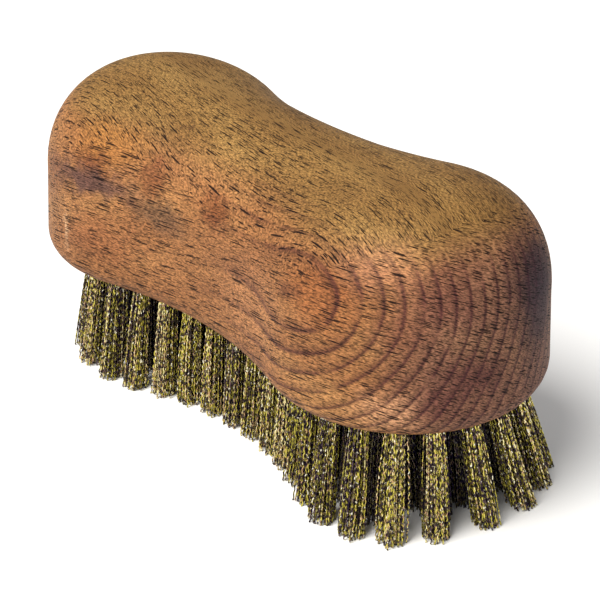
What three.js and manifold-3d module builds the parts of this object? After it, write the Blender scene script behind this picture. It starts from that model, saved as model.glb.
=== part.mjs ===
// Hand wire brush: a waisted, domed beech block with staple-set tufts of crimped brass wire.
// Millimetres. +Z is up, +X runs along the block, and the trimmed wire tips stand on z = 0.
// The block is one shaped piece of wood. Its underside is drilled with blind holes, and each
// hole holds one folded tuft with the flat anchor that pins the fold.

import * as THREE from "three";
import { mergeVertices } from "three/addons/utils/BufferGeometryUtils.js";
import Module from "manifold-3d";

const wasm = await Module();
wasm.setup();

// ---- driving dimensions ------------------------------------------------------------------------

const BLOCK_LENGTH = 130; // over both ends
const LOBE_WIDTH = 56.6; // each end is a round lobe of this diameter
const WAIST_WIDTH = 44.5; // across the middle, where the fingers close round the block
const BLOCK_HEIGHT = 40; // underside to top at the waist
const SADDLE_RISE = 3.8; // how much higher the top would be right at the ends
const UNDERSIDE_RADIUS = 5.4; // small round on the lower edge
const ROUND_OVER_REACH = 22.4; // the big round-over, measured inwards from the wall
const ROUND_OVER_DROP = 21.1; // and down from the top
const WALL_DRAFT = 0.7; // the wall leans in by this much below the round-over

const BRISTLE_LENGTH = 25; // trimmed wire that shows below the block
const RING_WIDTH = 38.8; // the outer ring of tufts is a narrower outline of the same kind, across a lobe
const RING_WAIST_WIDTH = 22.4; // and across the waist
const RING_STEPS_LOBE = 11; // tuft spacings round one lobe
const RING_STEPS_WAIST = 9; // tuft spacings along one side of the waist
const FIELD_MARGIN = 6.2; // outer ring to the inner field of tufts
const PATTERN_SHIFT = 3; // the whole pattern of tufts sits this far towards +X
const ROW_COUNT = 15; // transverse rows of inner tufts
const ROW_SPACING = 6.85; // from one row to the next, along the block
const TUFT_SPACING = 6.2; // between the tufts of one row, across the block
const LEAST_TUFT_SPACING = 5.2; // a row is closed up to fill the field's width, but no closer than this

const HOLE_DIAMETER = 4.4;
const HOLE_DEPTH = 9;
const TUFT_DIAMETER = 3.8; // at the mouth of its hole
const FOLD_DIAMETER = 3.4; // inside the hole, where the wires are folded tight
const TIP_DIAMETER = 5.8; // where the trimmed wires have spread
const ROW_TIP_SPREAD = 2.8; // inner tufts spread this much wider across the block, and meet
const CLEARANCE = 0.3; // between the wood and anything in a hole
const LEFT_FLARE = 4; // how far the tips lean out at the left end
const RIGHT_FLARE = 1; // and at the right end
const SIDE_FLARE = 2.5; // and at the sides
const CORNER_SPLAY = 5.5; // how much further use has bent the tips towards +Y at the right end
const ANCHOR = { length: 3.8, thickness: 0.45, height: 1.4, fromFold: 0.9 };

const LOBE_SEGMENTS = 16;
const WAIST_SEGMENTS = 6;
const EDGE_SEGMENTS = 3;
const DOME_SEGMENTS = 6;
const TUFT_SIDES = 8;

// ---- worked out from them ----------------------------------------------------------------------

const lobeX = (BLOCK_LENGTH - LOBE_WIDTH) / 2; // both lobes are centred this far from the middle
const undersideZ = BRISTLE_LENGTH;
const shoulderZ = undersideZ + BLOCK_HEIGHT - ROUND_OVER_DROP;
const blockOutline = peanut(LOBE_WIDTH, WAIST_WIDTH);
const ringOutline = peanut(RING_WIDTH, RING_WAIST_WIDTH);
const fieldOutline = peanut(RING_WIDTH - 2 * FIELD_MARGIN, RING_WAIST_WIDTH - 2 * FIELD_MARGIN);
const ringEndX = lobeX + ringOutline.radius;

const beech = new THREE.MeshStandardMaterial({ color: 0xa9764a, roughness: 0.6, metalness: 0 });
const brass = new THREE.MeshStandardMaterial({ color: 0x8f7d4a, roughness: 0.4, metalness: 0.9 });

// ---- helpers -----------------------------------------------------------------------------------

/** A closed three.js geometry as a manifold solid, with shared vertices merged. */
function solidOf(geometry) {
  const bare = geometry.clone();
  bare.deleteAttribute("normal");
  bare.deleteAttribute("uv");
  const merged = mergeVertices(bare, 1e-4);
  const corners = merged.index.array;
  const triangles = [];
  for (let i = 0; i < corners.length; i += 3) {
    const [a, b, c] = corners.slice(i, i + 3);
    if (a !== b && b !== c && c !== a) triangles.push(a, b, c);
  }
  const vertProperties = Float32Array.from(merged.attributes.position.array);
  const mesh = new wasm.Mesh({ numProp: 3, vertProperties, triVerts: Uint32Array.from(triangles) });
  return new wasm.Manifold(mesh);
}

/** A manifold solid back as a three.js geometry. */
function geometryOf(solid) {
  const { vertProperties, triVerts } = solid.getMesh();
  const geometry = new THREE.BufferGeometry();
  geometry.setAttribute("position", new THREE.BufferAttribute(vertProperties, 3));
  geometry.setIndex(new THREE.BufferAttribute(triVerts, 1));
  geometry.computeVertexNormals();
  return geometry;
}

function named(name, geometry, material) {
  const mesh = new THREE.Mesh(geometry, material);
  mesh.name = name;
  return mesh;
}

/** Two round lobes joined by waist arcs that meet them smoothly. The arcs are centred beside the block. */
function peanut(lobeWidth, waistWidth) {
  const radius = lobeWidth / 2;
  const halfWaist = waistWidth / 2;
  const waistRadius = (lobeX ** 2 + halfWaist ** 2 - radius ** 2) / (2 * (radius - halfWaist));
  const waistY = halfWaist + waistRadius;
  return { radius, waistRadius, waistY, waistSweep: Math.atan2(lobeX, waistY) };
}

/** A point of the outline, and the point of the spine that it faces. */
function lobePoint({ radius }, angle) {
  const edge = new THREE.Vector2(lobeX + radius * Math.cos(angle), radius * Math.sin(angle));
  return { edge, spine: new THREE.Vector2(lobeX, 0) };
}

function waistPoint({ waistRadius, waistY }, angle) {
  const edge = new THREE.Vector2(waistRadius * Math.sin(angle), waistY - waistRadius * Math.cos(angle));
  return { edge, spine: new THREE.Vector2(waistY * Math.tan(angle), 0) };
}

/** Once round the outline, anticlockwise from the right lobe's lower junction with the waist. */
function onceRound(outline, lobeSteps, waistSteps) {
  const { waistSweep } = outline;
  const lobeSweep = Math.PI / 2 + waistSweep; // from +X to where lobe and waist meet
  const half = [];
  for (let i = 0; i < lobeSteps; i++) {
    half.push(lobePoint(outline, THREE.MathUtils.lerp(-lobeSweep, lobeSweep, i / lobeSteps)));
  }
  for (let i = 0; i < waistSteps; i++) {
    half.push(waistPoint(outline, THREE.MathUtils.lerp(waistSweep, -waistSweep, i / waistSteps)));
  }
  const turned = half.map(({ edge, spine }) => ({
    edge: edge.clone().negate(),
    spine: spine.clone().negate(),
  }));
  return half.concat(turned);
}

// ---- the block ---------------------------------------------------------------------------------

/** The block's section as [inset from the outline, height, share of the saddle], bottom to top. */
function blockSection(reach) {
  const section = [[reach, undersideZ, 0]];
  for (let i = 0; i <= EDGE_SEGMENTS; i++) {
    const turn = (i / EDGE_SEGMENTS) * (Math.PI / 2);
    const inset = UNDERSIDE_RADIUS * (1 - Math.sin(turn));
    section.push([inset, undersideZ + UNDERSIDE_RADIUS * (1 - Math.cos(turn)), 0]);
  }
  const roundOver = Math.min(ROUND_OVER_REACH, 0.97 * (reach - WALL_DRAFT));
  for (let i = 0; i <= DOME_SEGMENTS; i++) {
    const turn = (i / DOME_SEGMENTS) * (Math.PI / 2);
    const inset = WALL_DRAFT + roundOver * (1 - Math.cos(turn));
    section.push([inset, shoulderZ + ROUND_OVER_DROP * Math.sin(turn), Math.sin(turn)]);
  }
  section.push([reach, shoulderZ + ROUND_OVER_DROP, 1]);
  return section;
}

/** A lathe blank whose rings are then pushed out to the peanut outline. */
function blockSolid() {
  const columns = onceRound(blockOutline, LOBE_SEGMENTS, WAIST_SEGMENTS);
  const { radius } = blockOutline;
  const blank = blockSection(radius).map(([inset, z]) => new THREE.Vector2(radius - inset, z));
  const lathe = new THREE.LatheGeometry(blank, columns.length);
  const position = lathe.attributes.position;
  const inwards = new THREE.Vector2();
  for (let i = 0; i < position.count; i++) {
    const { edge, spine } = columns[Math.floor(i / blank.length) % columns.length];
    const reach = edge.distanceTo(spine);
    const [inset, z, saddleShare] = blockSection(reach)[i % blank.length];
    const point = inwards.subVectors(spine, edge).setLength(inset).add(edge);
    const saddle = SADDLE_RISE * (point.x / (BLOCK_LENGTH / 2)) ** 2;
    position.setXYZ(i, point.x, point.y, z + saddleShare * saddle);
  }
  return solidOf(lathe);
}

// ---- where the tufts go ------------------------------------------------------------------------

function outerRing() {
  const points = onceRound(ringOutline, RING_STEPS_LOBE, RING_STEPS_WAIST);
  return points.map(({ edge }) => edge.setX(edge.x + PATTERN_SHIFT));
}

/** Half the width of the inner field of tufts, x from its middle. */
function fieldHalfWidth(x) {
  const { radius, waistRadius, waistY, waistSweep } = fieldOutline;
  const junctionX = lobeX - radius * Math.sin(waistSweep);
  if (Math.abs(x) < junctionX) return waistY - Math.sqrt(waistRadius ** 2 - x ** 2);
  return Math.sqrt(radius ** 2 - (Math.abs(x) - lobeX) ** 2);
}

function innerRows() {
  const rows = [];
  for (let i = 0; i < ROW_COUNT; i++) {
    const x = (i - (ROW_COUNT - 1) / 2) * ROW_SPACING;
    const width = 2 * fieldHalfWidth(x);
    let spacings = Math.ceil(width / TUFT_SPACING);
    let spacing = width / spacings;
    if (spacing < LEAST_TUFT_SPACING) {
      spacings -= 1;
      spacing = TUFT_SPACING;
    }
    const row = [];
    for (let j = 0; j <= spacings; j++) {
      row.push(new THREE.Vector2(x + PATTERN_SHIFT, (j - spacings / 2) * spacing));
    }
    rows.push(row);
  }
  return rows;
}

// ---- holes and tufts ---------------------------------------------------------------------------

function upright(geometry) {
  return geometry.rotateX(Math.PI / 2);
}

function holeSolid({ x, y }) {
  const below = 1; // the cutter starts this far under the face
  const radius = HOLE_DIAMETER / 2;
  const hole = new THREE.CylinderGeometry(radius, radius, HOLE_DEPTH + below, TUFT_SIDES);
  upright(hole).translate(x, y, undersideZ + (HOLE_DEPTH - below) / 2);
  return solidOf(hole);
}

/** One straight tuft on the Z axis, with its anchor through the fold. */
function tuftSolid(extraTip) {
  const top = undersideZ + HOLE_DEPTH - CLEARANCE;
  const profile = [
    [0, 0],
    [TIP_DIAMETER / 2, 0],
    [TUFT_DIAMETER / 2, undersideZ],
    [FOLD_DIAMETER / 2, top],
    [0, top],
  ];
  const points = profile.map(([radius, z]) => new THREE.Vector2(radius, z));
  const bundle = upright(new THREE.LatheGeometry(points, TUFT_SIDES));
  const position = bundle.attributes.position;
  for (let i = 0; i < position.count; i++) {
    const atTip = 1 - Math.min(position.getZ(i) / undersideZ, 1);
    position.setY(i, position.getY(i) * (1 + (extraTip / TIP_DIAMETER) * atTip));
  }
  const anchor = new THREE.BoxGeometry(ANCHOR.thickness, ANCHOR.length, ANCHOR.height);
  anchor.translate(0, 0, top - ANCHOR.fromFold - ANCHOR.height / 2);
  return solidOf(bundle).add(solidOf(anchor));
}

/** How far the tips of the tuft rooted at x, y have leaned out. */
function tipLean({ x, y }) {
  const endShare = (x / ringEndX) ** 2;
  const sideShare = y / ringOutline.radius;
  if (x < 0) return { x: -LEFT_FLARE * endShare, y: SIDE_FLARE * sideShare };
  const splay = CORNER_SPLAY * endShare ** 2 * (1 + sideShare);
  return { x: RIGHT_FLARE * endShare, y: SIDE_FLARE * sideShare + splay };
}

/** A copy of the straight tuft, moved to its hole and leaned out below the block. */
function placedTuft(straight, root) {
  const lean = tipLean(root);
  return straight.warp((vertex) => {
    const below = 1 - Math.min(vertex[2] / undersideZ, 1);
    vertex[0] += root.x + lean.x * below;
    vertex[1] += root.y + lean.y * below;
  });
}

// ---- the assembly ------------------------------------------------------------------------------

const brush = new THREE.Group();
const ring = outerRing();
const rows = innerRows();
const holes = ring.concat(rows.flat()).map(holeSolid);
const block = holes.reduce((solid, hole) => solid.subtract(hole), blockSolid());
brush.add(named("handle_block", geometryOf(block), beech));

const number = (index) => String(index + 1).padStart(2, "0");
const outerTuft = tuftSolid(0);
ring.forEach((root, index) => {
  brush.add(named(`outer_tuft_${number(index)}`, geometryOf(placedTuft(outerTuft, root)), brass));
});

const innerTuft = tuftSolid(ROW_TIP_SPREAD);
rows.forEach((row, index) => {
  const joined = row.map((root) => placedTuft(innerTuft, root)).reduce((a, b) => a.add(b));
  brush.add(named(`inner_tuft_row_${number(index)}`, geometryOf(joined), brass));
});

export default brush;
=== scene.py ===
"""A hand wire brush: a shaped beech block with staple-set tufts of crimped brass wire.

Metres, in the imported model's frame: +Z is up, +X runs along the block, and the wire tips stand on z = 0.
The block and the tufts replace the plain CAD solids. Their shapes follow the same driving dimensions.
"""

import math

import bmesh
import bpy
import numpy as np
from mathutils import Matrix, Vector


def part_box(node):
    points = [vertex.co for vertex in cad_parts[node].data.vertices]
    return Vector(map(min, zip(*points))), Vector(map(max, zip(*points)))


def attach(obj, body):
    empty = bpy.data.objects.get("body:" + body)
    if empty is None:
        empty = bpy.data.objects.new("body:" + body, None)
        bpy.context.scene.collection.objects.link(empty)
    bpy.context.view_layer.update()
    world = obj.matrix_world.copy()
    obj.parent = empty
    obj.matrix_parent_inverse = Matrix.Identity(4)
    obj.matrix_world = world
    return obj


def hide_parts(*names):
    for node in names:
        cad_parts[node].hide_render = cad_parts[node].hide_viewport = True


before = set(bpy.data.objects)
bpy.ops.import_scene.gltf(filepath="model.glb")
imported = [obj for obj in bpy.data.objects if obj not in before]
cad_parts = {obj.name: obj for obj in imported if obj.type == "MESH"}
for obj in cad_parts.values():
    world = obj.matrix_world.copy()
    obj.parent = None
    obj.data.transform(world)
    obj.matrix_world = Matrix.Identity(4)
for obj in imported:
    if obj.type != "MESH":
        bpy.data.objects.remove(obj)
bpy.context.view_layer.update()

MM = 0.001

# ---- driving dimensions ------------------------------------------------------------------------

block_low, block_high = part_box("handle_block")
tuft_low, tuft_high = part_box("outer_tuft_01")

BLOCK_LENGTH = block_high.x - block_low.x
UNDERSIDE = block_low.z
FOLD_TOP = tuft_high.z
LOBE_WIDTH = 56.6 * MM
WAIST_WIDTH = 44.5 * MM
BLOCK_HEIGHT = 40 * MM
SADDLE_RISE = 3.8 * MM
UNDERSIDE_RADIUS = 5.4 * MM
ROUND_OVER_REACH = 22.4 * MM
ROUND_OVER_DROP = 21.1 * MM
WALL_DRAFT = 0.7 * MM

RING_WIDTH = 38.8 * MM
RING_WAIST_WIDTH = 22.4 * MM
RING_STEPS_LOBE = 11
RING_STEPS_WAIST = 9
FIELD_MARGIN = 6.2 * MM
PATTERN_SHIFT = 3 * MM
ROW_COUNT = 15
ROW_SPACING = 6.85 * MM
TUFT_SPACING = 6.2 * MM
LEAST_TUFT_SPACING = 5.2 * MM
LEFT_FLARE = 4 * MM
RIGHT_FLARE = 1 * MM
SIDE_FLARE = 2.5 * MM
CORNER_SPLAY = 5.5 * MM

HOLE_RADIUS = 2.2 * MM
HOLE_DEPTH = 9 * MM
HOLE_CHAMFER = 0.2 * MM
DRILL_SIDES = 28
CRISP_ANGLE = math.radians(35)
MOUTH_RADIUS = 1.85 * MM
FOLD_SQUEEZE = 0.84
TIP_RADIUS = 2.8 * MM
INNER_TIP_RADIUS = 3.4 * MM

WIRE_RADIUS = 0.175 * MM
OUTER_WIRES, OUTER_STEPS, OUTER_SIDES = 32, 6, 4  # folded wires, steps in a crimp, sides of a wire
INNER_WIRES, INNER_STEPS, INNER_SIDES = 30, 5, 3
CRIMP_LENGTH = 1.6 * MM
CRIMP_DEPTH = 0.12 * MM

# Standard deviations of what differs from one tuft or wire to the next.
UNEVEN_LEAN = 0.2 * MM
UNEVEN_MOUTH = 0.06 * MM
UNEVEN_TIP = 0.18 * MM
UNEVEN_TRIM = 0.28 * MM
UNEVEN_BOW = 0.25 * MM
UNEVEN_CRIMP = 0.05

ANCHOR_SIZE = (0.45 * MM, 5.2 * MM, 1.4 * MM)
ANCHOR_BELOW_FOLD = 0.9 * MM

lobe_x = (BLOCK_LENGTH - LOBE_WIDTH) / 2
shoulder = UNDERSIDE + BLOCK_HEIGHT - ROUND_OVER_DROP

rng = np.random.default_rng(7)


# ---- shape of the block ------------------------------------------------------------------------


class Peanut:
    """Two round lobes joined by waist arcs, which are centred beside the block and meet the lobes
    smoothly."""

    def __init__(self, lobe_width, waist_width):
        half_waist = waist_width / 2
        self.radius = lobe_width / 2
        apart = lobe_x**2 + half_waist**2 - self.radius**2
        self.waist_radius = apart / (2 * (self.radius - half_waist))
        self.waist_y = half_waist + self.waist_radius
        self.waist_sweep = math.atan2(lobe_x, self.waist_y)

    def once_round(self, lobe_steps, waist_steps):
        """Points of the outline, and the points of the spine that they face."""
        edge, spine = [], []
        lobe_sweep = math.pi / 2 + self.waist_sweep
        for angle in np.linspace(-lobe_sweep, lobe_sweep, lobe_steps, endpoint=False):
            edge.append((lobe_x + self.radius * math.cos(angle), self.radius * math.sin(angle)))
            spine.append((lobe_x, 0))
        for angle in np.linspace(self.waist_sweep, -self.waist_sweep, waist_steps, endpoint=False):
            across = self.waist_radius * math.sin(angle)
            edge.append((across, self.waist_y - self.waist_radius * math.cos(angle)))
            spine.append((self.waist_y * math.tan(angle), 0))
        edge, spine = np.array(edge), np.array(spine)
        return np.concatenate([edge, -edge]), np.concatenate([spine, -spine])

    def half_width(self, x):
        if abs(x) < lobe_x - self.radius * math.sin(self.waist_sweep):
            return self.waist_y - math.sqrt(self.waist_radius**2 - x**2)
        return math.sqrt(self.radius**2 - (abs(x) - lobe_x) ** 2)


block_outline = Peanut(LOBE_WIDTH, WAIST_WIDTH)
ring_outline = Peanut(RING_WIDTH, RING_WAIST_WIDTH)
field_outline = Peanut(RING_WIDTH - 2 * FIELD_MARGIN, RING_WAIST_WIDTH - 2 * FIELD_MARGIN)


def block_section(reach, edge_steps, dome_steps):
    """The wall from the underside to the spine, for a column that is reach from its spine:
    inset from the outline, height, and share of the saddle."""
    section = []
    for turn in np.linspace(0, math.pi / 2, edge_steps + 1):
        inset = UNDERSIDE_RADIUS * (1 - math.sin(turn))
        section.append((inset, UNDERSIDE + UNDERSIDE_RADIUS * (1 - math.cos(turn)), 0))
    span = reach - WALL_DRAFT
    round_over = min(ROUND_OVER_REACH, 0.97 * span)
    power = 2 + 1.35 * (1 - round_over / span)  # 2 is an ellipse, and more is squarer
    for share in np.sin(np.linspace(0, math.pi / 2, dome_steps + 1)) ** 2:
        rise = (1 - (1 - share) ** power) ** (1 / power)
        section.append((WALL_DRAFT + span * share, shoulder + ROUND_OVER_DROP * rise, rise))
    return np.array(section)


def block_mesh(lobe_steps=96, waist_steps=48, edge_steps=8, dome_steps=30):
    """The solid block before drilling, as a bmesh."""
    edge, spine = block_outline.once_round(lobe_steps, waist_steps)
    bm = bmesh.new()
    rings = []
    for foot, heart in zip(edge, spine):
        reach = np.linalg.norm(heart - foot)
        section = block_section(reach, edge_steps, dome_steps)
        flat = foot + (heart - foot) / reach * section[:, :1]
        saddle = SADDLE_RISE * (flat[:, 0] / (BLOCK_LENGTH / 2)) ** 2
        heights = section[:, 1] + section[:, 2] * saddle
        rings.append([bm.verts.new((x, y, z)) for (x, y), z in zip(flat, heights)])
    for here, after in zip(rings, rings[1:] + rings[:1]):
        for low in range(len(here) - 1):
            bm.faces.new((here[low], after[low], after[low + 1], here[low + 1]))
    bm.faces.new([ring[0] for ring in reversed(rings)])
    bmesh.ops.remove_doubles(bm, verts=bm.verts, dist=0.002 * MM)
    bmesh.ops.dissolve_degenerate(bm, edges=bm.edges, dist=0.001 * MM)
    return bm


# ---- where the tufts go ------------------------------------------------------------------------


def outer_ring():
    return ring_outline.once_round(RING_STEPS_LOBE, RING_STEPS_WAIST)[0] + (PATTERN_SHIFT, 0)


def inner_rows():
    rows = []
    for i in range(ROW_COUNT):
        x = (i - (ROW_COUNT - 1) / 2) * ROW_SPACING
        width = 2 * field_outline.half_width(x)
        spacings = math.ceil(width / TUFT_SPACING)
        spacing = width / spacings
        if spacing < LEAST_TUFT_SPACING:
            spacings, spacing = spacings - 1, TUFT_SPACING
        ys = [(j - spacings / 2) * spacing for j in range(spacings + 1)]
        rows.append([(x + PATTERN_SHIFT, y) for y in ys])
    return rows


def tip_lean(x, y):
    """How far the tips of the tuft rooted at x, y have leaned: out at the ends and sides, and by use
    towards +Y at the right end."""
    end_share = (x / (lobe_x + ring_outline.radius)) ** 2
    side_share = y / ring_outline.radius
    if x < 0:
        return np.array([-LEFT_FLARE * end_share, SIDE_FLARE * side_share])
    splay = CORNER_SPLAY * end_share**2 * (1 + side_share)
    return np.array([RIGHT_FLARE * end_share, SIDE_FLARE * side_share + splay])


# ---- mesh helpers ------------------------------------------------------------------------------


def add_piece(name, mesh, material):
    """A finished piece that rides on the brush's one body."""
    piece = bpy.data.objects.new(name, mesh)
    bpy.context.scene.collection.objects.link(piece)
    mesh.materials.clear()
    mesh.materials.append(material)
    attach(piece, "root")
    return piece


def mesh_from_arrays(name, points, quads, ends):
    """A mesh from numpy arrays: quads is (n, 4), and ends holds closing faces of one size."""
    mesh = bpy.data.meshes.new(name)
    corners = np.concatenate([quads.ravel(), ends.ravel()]).astype(np.int32)
    sizes = np.concatenate([np.full(len(quads), quads.shape[1]), np.full(len(ends), ends.shape[1])])
    starts = np.concatenate([[0], np.cumsum(sizes)[:-1]]).astype(np.int32)
    mesh.vertices.add(len(points))
    mesh.vertices.foreach_set("co", points.astype(np.float32).ravel())
    mesh.loops.add(len(corners))
    mesh.loops.foreach_set("vertex_index", corners)
    mesh.polygons.add(len(sizes))
    mesh.polygons.foreach_set("loop_start", starts)
    smooth = np.concatenate([np.ones(len(quads), bool), np.zeros(len(ends), bool)])
    mesh.polygons.foreach_set("use_smooth", smooth)
    mesh.update(calc_edges=True)
    mesh.validate()
    return mesh


def sweep(paths, radius, sides):
    """Round tubes along many paths at once. paths is (wires, steps, 3); none runs along Y."""
    wires, steps, _ = paths.shape
    tangent = np.gradient(paths, axis=1)
    tangent /= np.linalg.norm(tangent, axis=2, keepdims=True)
    across = np.cross(tangent, np.array([0.0, 1.0, 0.0]))
    across /= np.linalg.norm(across, axis=2, keepdims=True)
    upward = np.cross(across, tangent)
    angle = np.arange(sides) * 2 * math.pi / sides
    ring = across[:, :, None] * np.cos(angle)[:, None] + upward[:, :, None] * np.sin(angle)[:, None]
    points = (paths[:, :, None] + radius * ring).reshape(-1, 3)
    index = np.arange(wires * steps * sides).reshape(wires, steps, sides)
    here, after = index[:, :-1], index[:, 1:]
    turned_here, turned_after = np.roll(here, -1, axis=2), np.roll(after, -1, axis=2)
    quads = np.stack([here, turned_here, turned_after, after], axis=3).reshape(-1, 4)
    ends = np.concatenate([index[:, 0, ::-1], index[:, -1]])
    return points, quads, ends


# ---- tufts -------------------------------------------------------------------------------------


def sunflower(count, radius):
    """Evenly spread points in half a disc, x > 0."""
    step = np.arange(2 * count) + 0.5
    angle = step * math.pi * (3 - math.sqrt(5))
    spread = radius * np.sqrt(step / (2 * count))
    points = np.stack([spread * np.cos(angle), spread * np.sin(angle)], axis=1)
    order = np.argsort(-points[:, 0])
    return points[order[:count]]


def tuft_paths(root, wires, tip_radius, steps_per_crimp):
    """The centre lines of one tuft's folded wires: tip, mouth, fold over the anchor, mouth, tip."""
    right = sunflower(wires, MOUTH_RADIUS)
    right[:, 0] = np.maximum(right[:, 0], WIRE_RADIUS + ANCHOR_SIZE[0] / 2)
    left = right * (-1, 1)
    lean = tip_lean(*root) + rng.normal(0, UNEVEN_LEAN, 2)
    legs = []
    for mouth in (right, left):
        mouth = mouth + rng.normal(0, UNEVEN_MOUTH, mouth.shape)
        tip = mouth * (tip_radius / MOUTH_RADIUS) + rng.normal(0, UNEVEN_TIP, mouth.shape) + lean
        steps = int(UNDERSIDE / CRIMP_LENGTH * steps_per_crimp)
        share = np.linspace(0, 1, steps)[None, :, None]
        trimmed = np.abs(rng.normal(0, UNEVEN_TRIM, (len(mouth), 1)))
        height = trimmed + (UNDERSIDE - trimmed) * share[..., 0]
        below = (1 - height / UNDERSIDE)[..., None]
        bow = rng.normal(0, UNEVEN_BOW, (len(mouth), 1, 2)) * np.sin(math.pi * share)
        heading = rng.uniform(0, 2 * math.pi, (len(mouth), 1))
        phase = rng.uniform(0, 2 * math.pi, (len(mouth), 1))
        pitch = CRIMP_LENGTH * rng.normal(1, UNEVEN_CRIMP, (len(mouth), 1))
        wave = CRIMP_DEPTH * np.sin(2 * math.pi * height / pitch + phase)
        crimp = np.stack([wave * np.cos(heading), wave * np.sin(heading)], axis=2)
        flat = mouth[:, None] + (tip - mouth)[:, None] * below + bow + crimp
        legs.append(np.concatenate([flat, height[..., None]], axis=2))
    top = FOLD_TOP - WIRE_RADIUS
    reach = right[:, 0] * FOLD_SQUEEZE
    rise = (0.4 + 0.6 * reach / reach.max()) * ANCHOR_BELOW_FOLD
    fold = []
    for turn in np.linspace(0, math.pi, 9):
        across = reach * np.cos(turn)
        up = top - ANCHOR_BELOW_FOLD + rise * np.sin(turn) - WIRE_RADIUS
        fold.append(np.stack([across, right[:, 1] * FOLD_SQUEEZE, up], axis=1))
    fold = np.stack(fold, axis=1)
    paths = np.concatenate([legs[0], fold, legs[1][:, ::-1]], axis=1)
    paths[:, :, 0] += root[0]
    paths[:, :, 1] += root[1]
    return paths


def add_tuft(name, root, wires, tip_radius, steps_per_crimp, sides, material, node):
    """One tuft of separate wires, each with its own tone. It replaces the CAD solid of its node."""
    paths = tuft_paths(root, wires, tip_radius, steps_per_crimp)
    points, quads, ends = sweep(paths, WIRE_RADIUS, sides)
    mesh = mesh_from_arrays(name, points, quads, ends)
    tone = np.repeat(rng.uniform(0, 1, len(paths)), paths.shape[1] * sides)
    mesh.attributes.new("wire_tone", "FLOAT", "POINT").data.foreach_set("value", tone)
    piece = add_piece(name, mesh, material)
    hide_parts(node)


def add_anchors(roots, material):
    """The flat anchors, one through each fold, with both ends bitten into the wood."""
    bm = bmesh.new()
    centre_z = FOLD_TOP - ANCHOR_BELOW_FOLD - ANCHOR_SIZE[2] / 2 - 2 * WIRE_RADIUS
    for x, y in roots:
        place = Matrix.Translation((x, y, centre_z)) @ Matrix.Diagonal((*ANCHOR_SIZE, 1))
        bmesh.ops.create_cube(bm, size=1, matrix=place)
    bmesh.ops.bevel(bm, geom=bm.edges, offset=0.08 * MM, segments=2, affect="EDGES")
    mesh = bpy.data.meshes.new("tuft_anchors")
    bm.to_mesh(mesh)
    add_piece("tuft_anchors", mesh, material)


# ---- drilling ----------------------------------------------------------------------------------


def drill_cutter(roots):
    """One mesh of all the drills: a blind hole with a small chamfer at its mouth."""
    bm = bmesh.new()
    angles = np.arange(DRILL_SIDES) * 2 * math.pi / DRILL_SIDES
    profile = [
        (HOLE_RADIUS + 2 * HOLE_CHAMFER, UNDERSIDE - HOLE_CHAMFER),
        (HOLE_RADIUS, UNDERSIDE + HOLE_CHAMFER),
        (HOLE_RADIUS, UNDERSIDE + HOLE_DEPTH - HOLE_CHAMFER),
        (HOLE_RADIUS - HOLE_CHAMFER, UNDERSIDE + HOLE_DEPTH),
    ]
    for x, y in roots:
        rings = []
        for radius, z in profile:
            circle = [(x + radius * math.cos(a), y + radius * math.sin(a), z) for a in angles]
            rings.append([bm.verts.new(point) for point in circle])
        for low, high in zip(rings, rings[1:]):
            for i in range(DRILL_SIDES):
                j = (i + 1) % DRILL_SIDES
                bm.faces.new((low[i], low[j], high[j], high[i]))
        bm.faces.new(reversed(rings[0]))
        bm.faces.new(rings[-1])
    mesh = bpy.data.meshes.new("drills")
    bm.to_mesh(mesh)
    cutter = bpy.data.objects.new("drills", mesh)
    bpy.context.scene.collection.objects.link(cutter)
    return cutter


def mark_sharp(mesh, angle):
    """Smooth faces, with edges sharper than angle kept crisp."""
    bm = bmesh.new()
    bm.from_mesh(mesh)
    for face in bm.faces:
        face.smooth = True
    for edge in bm.edges:
        edge.smooth = len(edge.link_faces) == 2 and edge.calc_face_angle() < angle
    bm.to_mesh(mesh)


def add_block(roots, material):
    mesh = bpy.data.meshes.new("beech_block")
    block_mesh().to_mesh(mesh)
    piece = add_piece("beech_block", mesh, material)
    cutter = drill_cutter(roots)
    cut = piece.modifiers.new("drill", "BOOLEAN")
    cut.operation, cut.solver, cut.object = "DIFFERENCE", "EXACT", cutter
    depsgraph = bpy.context.evaluated_depsgraph_get()
    drilled = bpy.data.meshes.new_from_object(piece.evaluated_get(depsgraph), depsgraph=depsgraph)
    piece.modifiers.clear()
    piece.data = drilled
    bpy.data.objects.remove(cutter)
    mark_sharp(drilled, CRISP_ANGLE)
    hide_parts("handle_block")


# ---- materials ---------------------------------------------------------------------------------


def srgb(red, green, blue):
    """An 8-bit display colour as linear light."""
    share = np.array([red, green, blue]) / 255
    linear = np.where(share <= 0.04045, share / 12.92, ((share + 0.055) / 1.055) ** 2.4)
    return tuple(float(level) for level in linear)


def grey(level):
    return (level, level, level)


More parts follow.
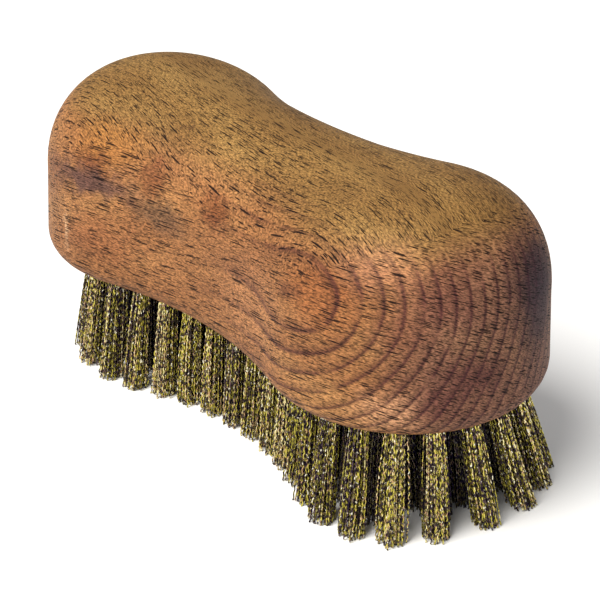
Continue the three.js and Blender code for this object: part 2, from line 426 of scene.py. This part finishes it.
class Nodes:
    """Short ways to add and join the nodes of one material."""

    def __init__(self, name):
        self.material = bpy.data.materials.new(name)
        self.material.use_nodes = True
        self.tree = self.material.node_tree
        self.shader = self.tree.nodes["Principled BSDF"]

    def add(self, kind, inputs=(), **settings):
        node = self.tree.nodes.new(kind)
        for key, value in settings.items():
            setattr(node, key, value)
        for key, value in dict(inputs).items():
            if isinstance(value, bpy.types.NodeSocket):
                self.tree.links.new(value, node.inputs[key])
            else:
                node.inputs[key].default_value = value
        return node

    def math(self, operation, a, b=0.0):
        return self.add("ShaderNodeMath", {0: a, 1: b}, operation=operation).outputs[0]

    def vector(self, operation, a, b=(0, 0, 0)):
        node = self.add("ShaderNodeVectorMath", {0: a, 1: b}, operation=operation)
        return node.outputs["Value" if operation == "LENGTH" else "Vector"]

    def span(self, value, low, high, at_low=0.0, at_high=1.0):
        """A smooth rise of value from low to high, held at both ends."""
        inputs = {"Value": value, "From Min": low, "From Max": high, "To Min": at_low, "To Max": at_high}
        return self.add("ShaderNodeMapRange", inputs, interpolation_type="SMOOTHSTEP").outputs[0]

    def noise(self, vector, scale=1.0, detail=2.0):
        inputs = {"Vector": vector, "Scale": scale, "Detail": detail}
        return self.add("ShaderNodeTexNoise", inputs).outputs["Fac"]

    def ramp(self, factor, stops):
        node = self.add("ShaderNodeValToRGB", {"Fac": factor})
        elements = node.color_ramp.elements
        while len(elements) < len(stops):
            elements.new(0.5)
        for element, (place, colour) in zip(elements, stops):
            element.position = place
            element.color = (*colour, 1)
        return node.outputs["Color"]

    def mix(self, factor, a, b, blend="MIX"):
        node = self.add("ShaderNodeMix", data_type="RGBA", blend_type=blend, clamp_result=True)
        for socket, value in ((node.inputs[0], factor), (node.inputs[6], a), (node.inputs[7], b)):
            if isinstance(value, bpy.types.NodeSocket):
                self.tree.links.new(value, socket)
            else:
                socket.default_value = value if isinstance(value, float) else (*value, 1)
        return node.outputs[2]

    def link(self, output, name):
        self.tree.links.new(output, self.shader.inputs[name])


# ---- wood --------------------------------------------------------------------------------------

# The grain runs along the block, turned a little about Y and Z. The rays are turned about the grain.
GRAIN_TURN = (0, math.radians(9.5), math.radians(6.1))
RAY_TURN = (math.radians(26), 0, 0)
PITH_ACROSS, PITH_UP = -38.9, 48.1  # where the tree's pith ran, in millimetres of the grain's own frame
YEAR_WIDTH = 2.7
FIRST_YEAR = 1.2

# Soft marks in the wood, and painted light and shade, in millimetres: middle, half sizes, colour and
# strength.
MARKS_AND_PAINTED_LIGHT = (
    ((-31, -25, 53), (5, 8, 3.5), srgb(88, 42, 22), 0.6),
    ((-15.6, -21, 53), (4.5, 8, 4.5), srgb(90, 42, 24), 0.6),
    ((4, -20, 52.5), (6, 8, 3.5), srgb(88, 40, 20), 0.65),
    # Painted highlight on the left lobe's front shoulder.
    ((-29, -21, 57), (11, 9, 4.5), srgb(150, 98, 40), 0.5),
    # The next two: painted shade on the front wall under the left lobe's shoulder.
    ((-31, -26, 49), (16, 9, 3.4), srgb(60, 42, 48), 0.75),
    ((-12, -22, 46.5), (10, 8, 3.5), srgb(76, 58, 44), 0.65),
    ((-26, -28, 38), (14, 8, 7), srgb(124, 74, 46), 0.5),
    # Painted light brightening the lower middle of the front wall.
    ((20, -24, 40), (14, 8, 11), srgb(160, 110, 72), 0.5),
    ((42, -26, 51), (10, 9, 7), srgb(128, 70, 34), 0.45),
    # Painted highlight on the near lobe's round-over.
    ((50, -19, 58), (8, 8, 5), srgb(180, 124, 92), 0.3),
    # Painted light on the low front of the near lobe, where the key lights it less.
    ((56, -21, 31.5), (9, 7, 5), srgb(192, 142, 104), 0.55),
    ((55, -20, 47), (5, 8, 5), srgb(104, 58, 44), 0.4),
    # Painted shade on the left end's front edge, dimming its reflection.
    ((-43, -27, 46), (7, 9, 10), srgb(104, 68, 48), 0.35),
    ((-38, -28, 36.5), (1, 3, 4), srgb(196, 156, 118), 0.6),
    ((-15.5, -11.6, 62.3), (1.3, 1.3, 1.6), srgb(50, 26, 18), 0.8),
    # The next two: painted shade, dark violet, on the right end.
    ((61, 9, 52), (9, 10, 9), srgb(16, 6, 34), 0.8),
    ((63, 9, 44), (8, 8, 8), srgb(28, 12, 34), 0.7),
    ((63, -8, 38), (8, 8, 5.5), srgb(60, 18, 28), 0.6),
    ((61, -14, 33), (8, 6, 4), srgb(70, 28, 34), 0.5),
    ((59, -13, 54), (7, 8, 6), srgb(84, 40, 40), 0.4),
)


def position(n):
    """Where a point of the surface is, in millimetres."""
    return n.vector("MULTIPLY", n.add("ShaderNodeTexCoord").outputs["Object"], grey(1 / MM))


def grain_frame(n, place):
    """The same place, turned so that X runs along the grain, and bent gently as real grain is."""
    turned = n.add("ShaderNodeMapping", {"Vector": place, "Rotation": GRAIN_TURN}).outputs[0]
    wander = n.add("ShaderNodeTexNoise", {"Vector": turned, "Scale": 0.035, "Detail": 1.0})
    centred = n.vector("SUBTRACT", wander.outputs["Color"], grey(0.5))
    return n.vector("ADD", turned, n.vector("MULTIPLY", centred, (0, 1.5, 1.5)))


def in_cells(n, grain, on_top, length, depth, thickness):
    """The grain's coordinates counted in cells: long along the grain, deep into the wood, thin across.
    Below the crown the rays fall away from the pith."""
    fallen = n.add("ShaderNodeMapping", {"Vector": grain, "Rotation": RAY_TURN}).outputs[0]
    side = n.vector("DIVIDE", fallen, (length, depth, thickness))
    top = n.vector("DIVIDE", grain, (0.75 * length, thickness, depth))
    return n.vector("ADD", side, n.vector("MULTIPLY", n.vector("SUBTRACT", top, side), on_top))


def flecks(n, cell_place, size, seed):
    """Dark dashes along the grain: 1 inside a dash and 0 outside. Size is the largest half size,
    in cells."""
    shifted = n.vector("ADD", cell_place, grey(seed))
    cells = n.add("ShaderNodeTexVoronoi", {"Vector": shifted, "Scale": 1.0})
    parts = n.add("ShaderNodeSeparateColor", {0: cells.outputs["Color"]})
    reach = n.span(parts.outputs[0], 0, 1, 0.3 * size, size)
    gap = n.math("SUBTRACT", cells.outputs["Distance"], reach)
    edge = n.span(gap, 0.06, -0.04)
    return n.math("MULTIPLY", edge, n.span(parts.outputs[1], -0.3, 0.6))


def growth_rings(n, grain, height):
    """Thin dark lines, one a year, each with the wood before it a little darker. They show on the
    flat-sawn side and the near end, and fade out over the top."""
    parts = n.add("ShaderNodeSeparateXYZ", {0: grain})
    across = n.math("SUBTRACT", parts.outputs[1], PITH_ACROSS)
    up = n.math("SUBTRACT", parts.outputs[2], PITH_UP)
    radius = n.math("SQRT", n.math("ADD", n.math("MULTIPLY", across, across), n.math("MULTIPLY", up, up)))
    uneven = n.math("MULTIPLY", n.math("SUBTRACT", n.noise(grain, scale=0.08), 0.5), 1.2)
    years = n.math("DIVIDE", n.math("SUBTRACT", n.math("ADD", radius, uneven), FIRST_YEAR), YEAR_WIDTH)
    year = n.math("FRACT", years)
    line = n.ramp(year, [
        (0, grey(0.8)),
        (0.12, grey(0)),
        (0.5, grey(0.1)),
        (0.8, grey(0.5)),
        (0.91, grey(1)),
    ])
    strength = n.math("MULTIPLY", n.span(parts.outputs[0], 5, 40), n.span(height, 64, 54))
    broken = n.span(n.noise(grain, scale=0.14, detail=3), 0.25, 0.5)
    share = n.math("ADD", n.math("MULTIPLY", n.math("MULTIPLY", strength, broken), 0.62), 0.08)
    return n.math("MULTIPLY", line, share)


def patch(n, place, middle, half_sizes):
    """A soft round mark: 1 in the middle, 0 outside."""
    away = n.vector("DIVIDE", n.vector("SUBTRACT", place, middle), half_sizes)
    return n.span(n.vector("LENGTH", away), 1.3, 0.2)


def crown(n, place, facing):
    """1 on the crown and shoulders, where the rays stand upright, and 0 below and at the near end.
    The border is ragged."""
    near_end = n.math("MAXIMUM", facing.outputs[0], 0.0)
    tilt = n.math("SUBTRACT", facing.outputs[2], n.math("MULTIPLY", near_end, 0.9))
    ragged = n.math("MULTIPLY", n.math("SUBTRACT", n.noise(place, scale=0.5), 0.5), 0.4)
    return n.math("GREATER_THAN", n.math("ADD", tilt, ragged), 0.42)


def end_share(n, facing):
    """1 where the surface faces along the block, 0 on its sides and top."""
    return n.span(n.math("ABSOLUTE", facing.outputs[0]), 0.45, 0.95)


def beech_ground(n, place, grain, facing):
    """The wood's broad colours, with painted light and shade, before its fine figure."""
    cloud = n.noise(n.vector("DIVIDE", grain, (30, 12, 12)), detail=3)
    side = n.ramp(cloud, [(0.3, srgb(118, 77, 46)), (0.5, srgb(134, 90, 54)), (0.7, srgb(147, 104, 63))])
    top = n.ramp(cloud, [(0.3, srgb(112, 81, 43)), (0.5, srgb(124, 92, 50)), (0.7, srgb(136, 104, 58))])
    # The top and sides are tinted by which way they face: partly the cut of the grain, partly a painted
    # tint of the light.
    colour = n.mix(n.span(facing.outputs[2], 0.55, 0.9), side, top)
    # Darker and cooler where the surface faces along the block: partly real end grain, partly painted
    # shade on the ends.
    colour = n.mix(n.math("MULTIPLY", end_share(n, facing), 0.45), colour, srgb(96, 70, 70))
    ragged = n.add("ShaderNodeTexNoise", {"Vector": place, "Scale": 0.3, "Detail": 6.0, "Roughness": 0.6})
    ragged = n.vector("MULTIPLY", n.vector("SUBTRACT", ragged.outputs["Color"], grey(0.5)), grey(8))
    place = n.vector("ADD", place, ragged)
    # Some of these marks are stains and scratches; others are painted highlights and painted shade.
    for middle, half_sizes, mark_colour, strength in MARKS_AND_PAINTED_LIGHT:
        amount = n.math("MULTIPLY", patch(n, place, middle, half_sizes), strength)
        colour = n.mix(amount, colour, mark_colour)
    return colour


def beech_material():
    """Beech: olive tan on the quarter-sawn top, orange tan on the flat-sawn sides (partly the grain's cut,
    partly a painted tint of the light), and darker on the end grain (partly real, partly painted shade)."""
    n = Nodes("beech")
    place = position(n)
    grain = grain_frame(n, place)
    facing = n.add("ShaderNodeSeparateXYZ", {0: n.add("ShaderNodeTexCoord").outputs["Normal"]})
    on_top = crown(n, place, facing)
    colour = beech_ground(n, place, grain, facing)
    height = n.add("ShaderNodeSeparateXYZ", {0: place}).outputs[2]
    colour = n.mix(growth_rings(n, grain, height), colour, srgb(44, 8, 22))
    pale = n.span(n.noise(in_cells(n, grain, on_top, 0.8, 0.7, 0.22), detail=2), 0.4, 0.66)
    paler = n.vector("MULTIPLY", colour, grey(1.95))
    colour = n.mix(n.math("MULTIPLY", pale, 0.8), colour, paler)
    dark = n.span(n.noise(in_cells(n, grain, on_top, 0.8, 0.7, 0.24), detail=2), 0.42, 0.68)
    darker = n.vector("MULTIPLY", colour, grey(0.28))
    colour = n.mix(n.math("MULTIPLY", dark, 0.85), colour, darker)
    speck = in_cells(n, grain, on_top, 0.3, 0.3, 0.22)
    tinge = n.add("ShaderNodeTexNoise", {"Vector": speck, "Detail": 1.0}).outputs["Color"]
    colour = n.mix(0.4, colour, tinge, "OVERLAY")
    short = flecks(n, in_cells(n, grain, on_top, 3.8, 2, 0.27), 0.36, 0)
    long = flecks(n, in_cells(n, grain, on_top, 8, 3, 0.36), 0.36, 17)
    hairline = flecks(n, in_cells(n, grain, on_top, 60, 4, 1.1), 0.11, 43)
    pores = n.math("MAXIMUM", n.math("MAXIMUM", short, long), hairline)
    colour = n.mix(n.math("MULTIPLY", pores, 0.95), colour, srgb(16, 6, 6))
    n.link(colour, "Base Color")
    n.link(n.span(pores, 0, 1, 0.6, 0.8), "Roughness")
    n.shader.inputs["Specular IOR Level"].default_value = 0.13
    relief = n.math("SUBTRACT", n.math("MULTIPLY", dark, -0.2), pores)
    bump = n.add("ShaderNodeBump", {"Height": relief, "Distance": 0.05 * MM, "Strength": 0.6})
    n.link(bump.outputs[0], "Normal")
    return n.material


# ---- metal and floor ---------------------------------------------------------------------------


def brass_material(name, painted_shade):
    """Drawn brass wire, dull and tarnished, each wire of its own tone, with painted glints and painted
    shade.
    """
    n = Nodes(name)
    place = position(n)
    tone = n.add("ShaderNodeAttribute", attribute_name="wire_tone").outputs["Fac"]
    drift = n.span(n.noise(n.vector("ADD", place, grey(57)), scale=1.0, detail=1), 0.3, 0.7, -0.3, 0.3)
    colour = n.ramp(n.math("ADD", tone, drift), [
        (0.0, srgb(96, 78, 84)),
        (0.2, srgb(136, 126, 52)),
        (0.6, srgb(214, 202, 90)),
        (0.82, srgb(186, 142, 122)),
        (1.0, srgb(236, 224, 160)),
    ])
    tarnish = n.span(n.noise(place, scale=1.1, detail=3), 0.46, 0.58)
    colour = n.mix(n.math("MULTIPLY", tarnish, 0.92), colour, srgb(26, 14, 48))
    # Painted glints: near-white spots scattered over the wires.
    painted_glint = n.span(n.noise(n.vector("ADD", place, grey(31)), scale=1.3, detail=1), 0.64, 0.7)
    colour = n.mix(n.math("MULTIPLY", painted_glint, 0.9), colour, srgb(255, 250, 226))
    # Painted shade: the whole colour is mixed towards dark navy by the given share, for the wires deep
    # inside the brush.
    colour = n.mix(painted_shade, colour, srgb(40, 34, 80))
    n.link(colour, "Base Color")
    n.link(n.span(tarnish, 0, 1, 0.26, 0.5), "Roughness")
    n.shader.inputs["Metallic"].default_value = 1.0
    return n.material


def floor_material():
    n = Nodes("pale_floor")
    n.shader.inputs["Base Color"].default_value = (*grey(FLOOR_GREY), 1)
    n.shader.inputs["Roughness"].default_value = 0.9
    return n.material


# ---- camera, light and floor -------------------------------------------------------------------

AZIMUTH, ELEVATION, ROLL = math.radians(49.6), math.radians(27.7), math.radians(0.4)
CAMERA_DISTANCE = 355.8 * MM
CAMERA_ASIDE, CAMERA_BELOW = -3.75 * MM, 17.6 * MM
SENSOR = 36.0
LENS = 104.5

KEY_PLACE, KEY_SIZE, KEY_POWER = (0.05, -0.95, 1.25), 1.1, 38
KEY_COLOUR = (1, 0.98, 0.94)
WORLD_STRENGTH = 0.45
FLOOR_GREY = 0.92
FLOOR_HALF_SIZE = 3


def add_camera():
    """The view over the near end, a little above the block."""
    back = Vector((
        math.sin(AZIMUTH) * math.cos(ELEVATION),
        -math.cos(AZIMUTH) * math.cos(ELEVATION),
        math.sin(ELEVATION),
    ))
    right = Vector((math.cos(AZIMUTH), math.sin(AZIMUTH), 0))
    up = back.cross(right)
    data = bpy.data.cameras.new("camera")
    data.lens, data.sensor_width = LENS, SENSOR
    data.clip_start, data.clip_end = 0.01, 10
    camera = bpy.data.objects.new("camera", data)
    bpy.context.scene.collection.objects.link(camera)
    middle = Vector((0, 0, UNDERSIDE + BLOCK_HEIGHT / 2))
    camera.location = middle + back * CAMERA_DISTANCE - right * CAMERA_ASIDE - up * CAMERA_BELOW
    turn = Matrix((right, up, back)).transposed() @ Matrix.Rotation(ROLL, 3, "Z")
    camera.rotation_euler = turn.to_euler()
    bpy.context.scene.camera = camera


def add_area_light(name, place, size, power, colour):
    data = bpy.data.lights.new(name, "AREA")
    data.shape, data.size = "DISK", size
    data.energy, data.color = power, colour
    lamp = bpy.data.objects.new(name, data)
    lamp.location = place
    lamp.rotation_euler = (Vector((0, 0, UNDERSIDE)) - Vector(place)).to_track_quat("-Z", "Y").to_euler()
    bpy.context.scene.collection.objects.link(lamp)


def add_studio():
    world = bpy.data.worlds.new("studio")
    world.use_nodes = True
    background = world.node_tree.nodes["Background"]
    background.inputs["Color"].default_value = (1, 1, 1, 1)
    background.inputs["Strength"].default_value = WORLD_STRENGTH
    bpy.context.scene.world = world
    bpy.context.scene.view_settings.view_transform = "Standard"
    add_area_light("key", KEY_PLACE, KEY_SIZE, KEY_POWER, KEY_COLOUR)
    bm = bmesh.new()
    bmesh.ops.create_grid(bm, x_segments=1, y_segments=1, size=FLOOR_HALF_SIZE)
    mesh = bpy.data.meshes.new("floor")
    bm.to_mesh(mesh)
    floor = bpy.data.objects.new("floor", mesh)
    mesh.materials.append(floor_material())
    bpy.context.scene.collection.objects.link(floor)


# ---- the brush ---------------------------------------------------------------------------------


def add_brush():
    ring, rows = outer_ring(), inner_rows()
    roots = [tuple(root) for root in ring] + [root for row in rows for root in row]
    # The inner tufts' brass is darkened towards navy: painted shade for the wires inside the brush.
    brass, shaded_brass = brass_material("brass", 0.0), brass_material("shaded_brass", 0.58)
    add_block(roots, beech_material())
    add_anchors(roots, brass)
    for i, root in enumerate(ring, 1):
        name, node = f"outer_wires_{i:02d}", f"outer_tuft_{i:02d}"
        add_tuft(name, root, OUTER_WIRES, TIP_RADIUS, OUTER_STEPS, OUTER_SIDES, brass, node)
    for i, row in enumerate(rows, 1):
        node = f"inner_tuft_row_{i:02d}"
        for j, root in enumerate(row, 1):
            name = f"inner_wires_{i:02d}_{j}"
            radius, detail = INNER_TIP_RADIUS, (INNER_STEPS, INNER_SIDES)
            add_tuft(name, root, INNER_WIRES, radius, *detail, shaded_brass, node)


add_camera()
add_studio()
add_brush()
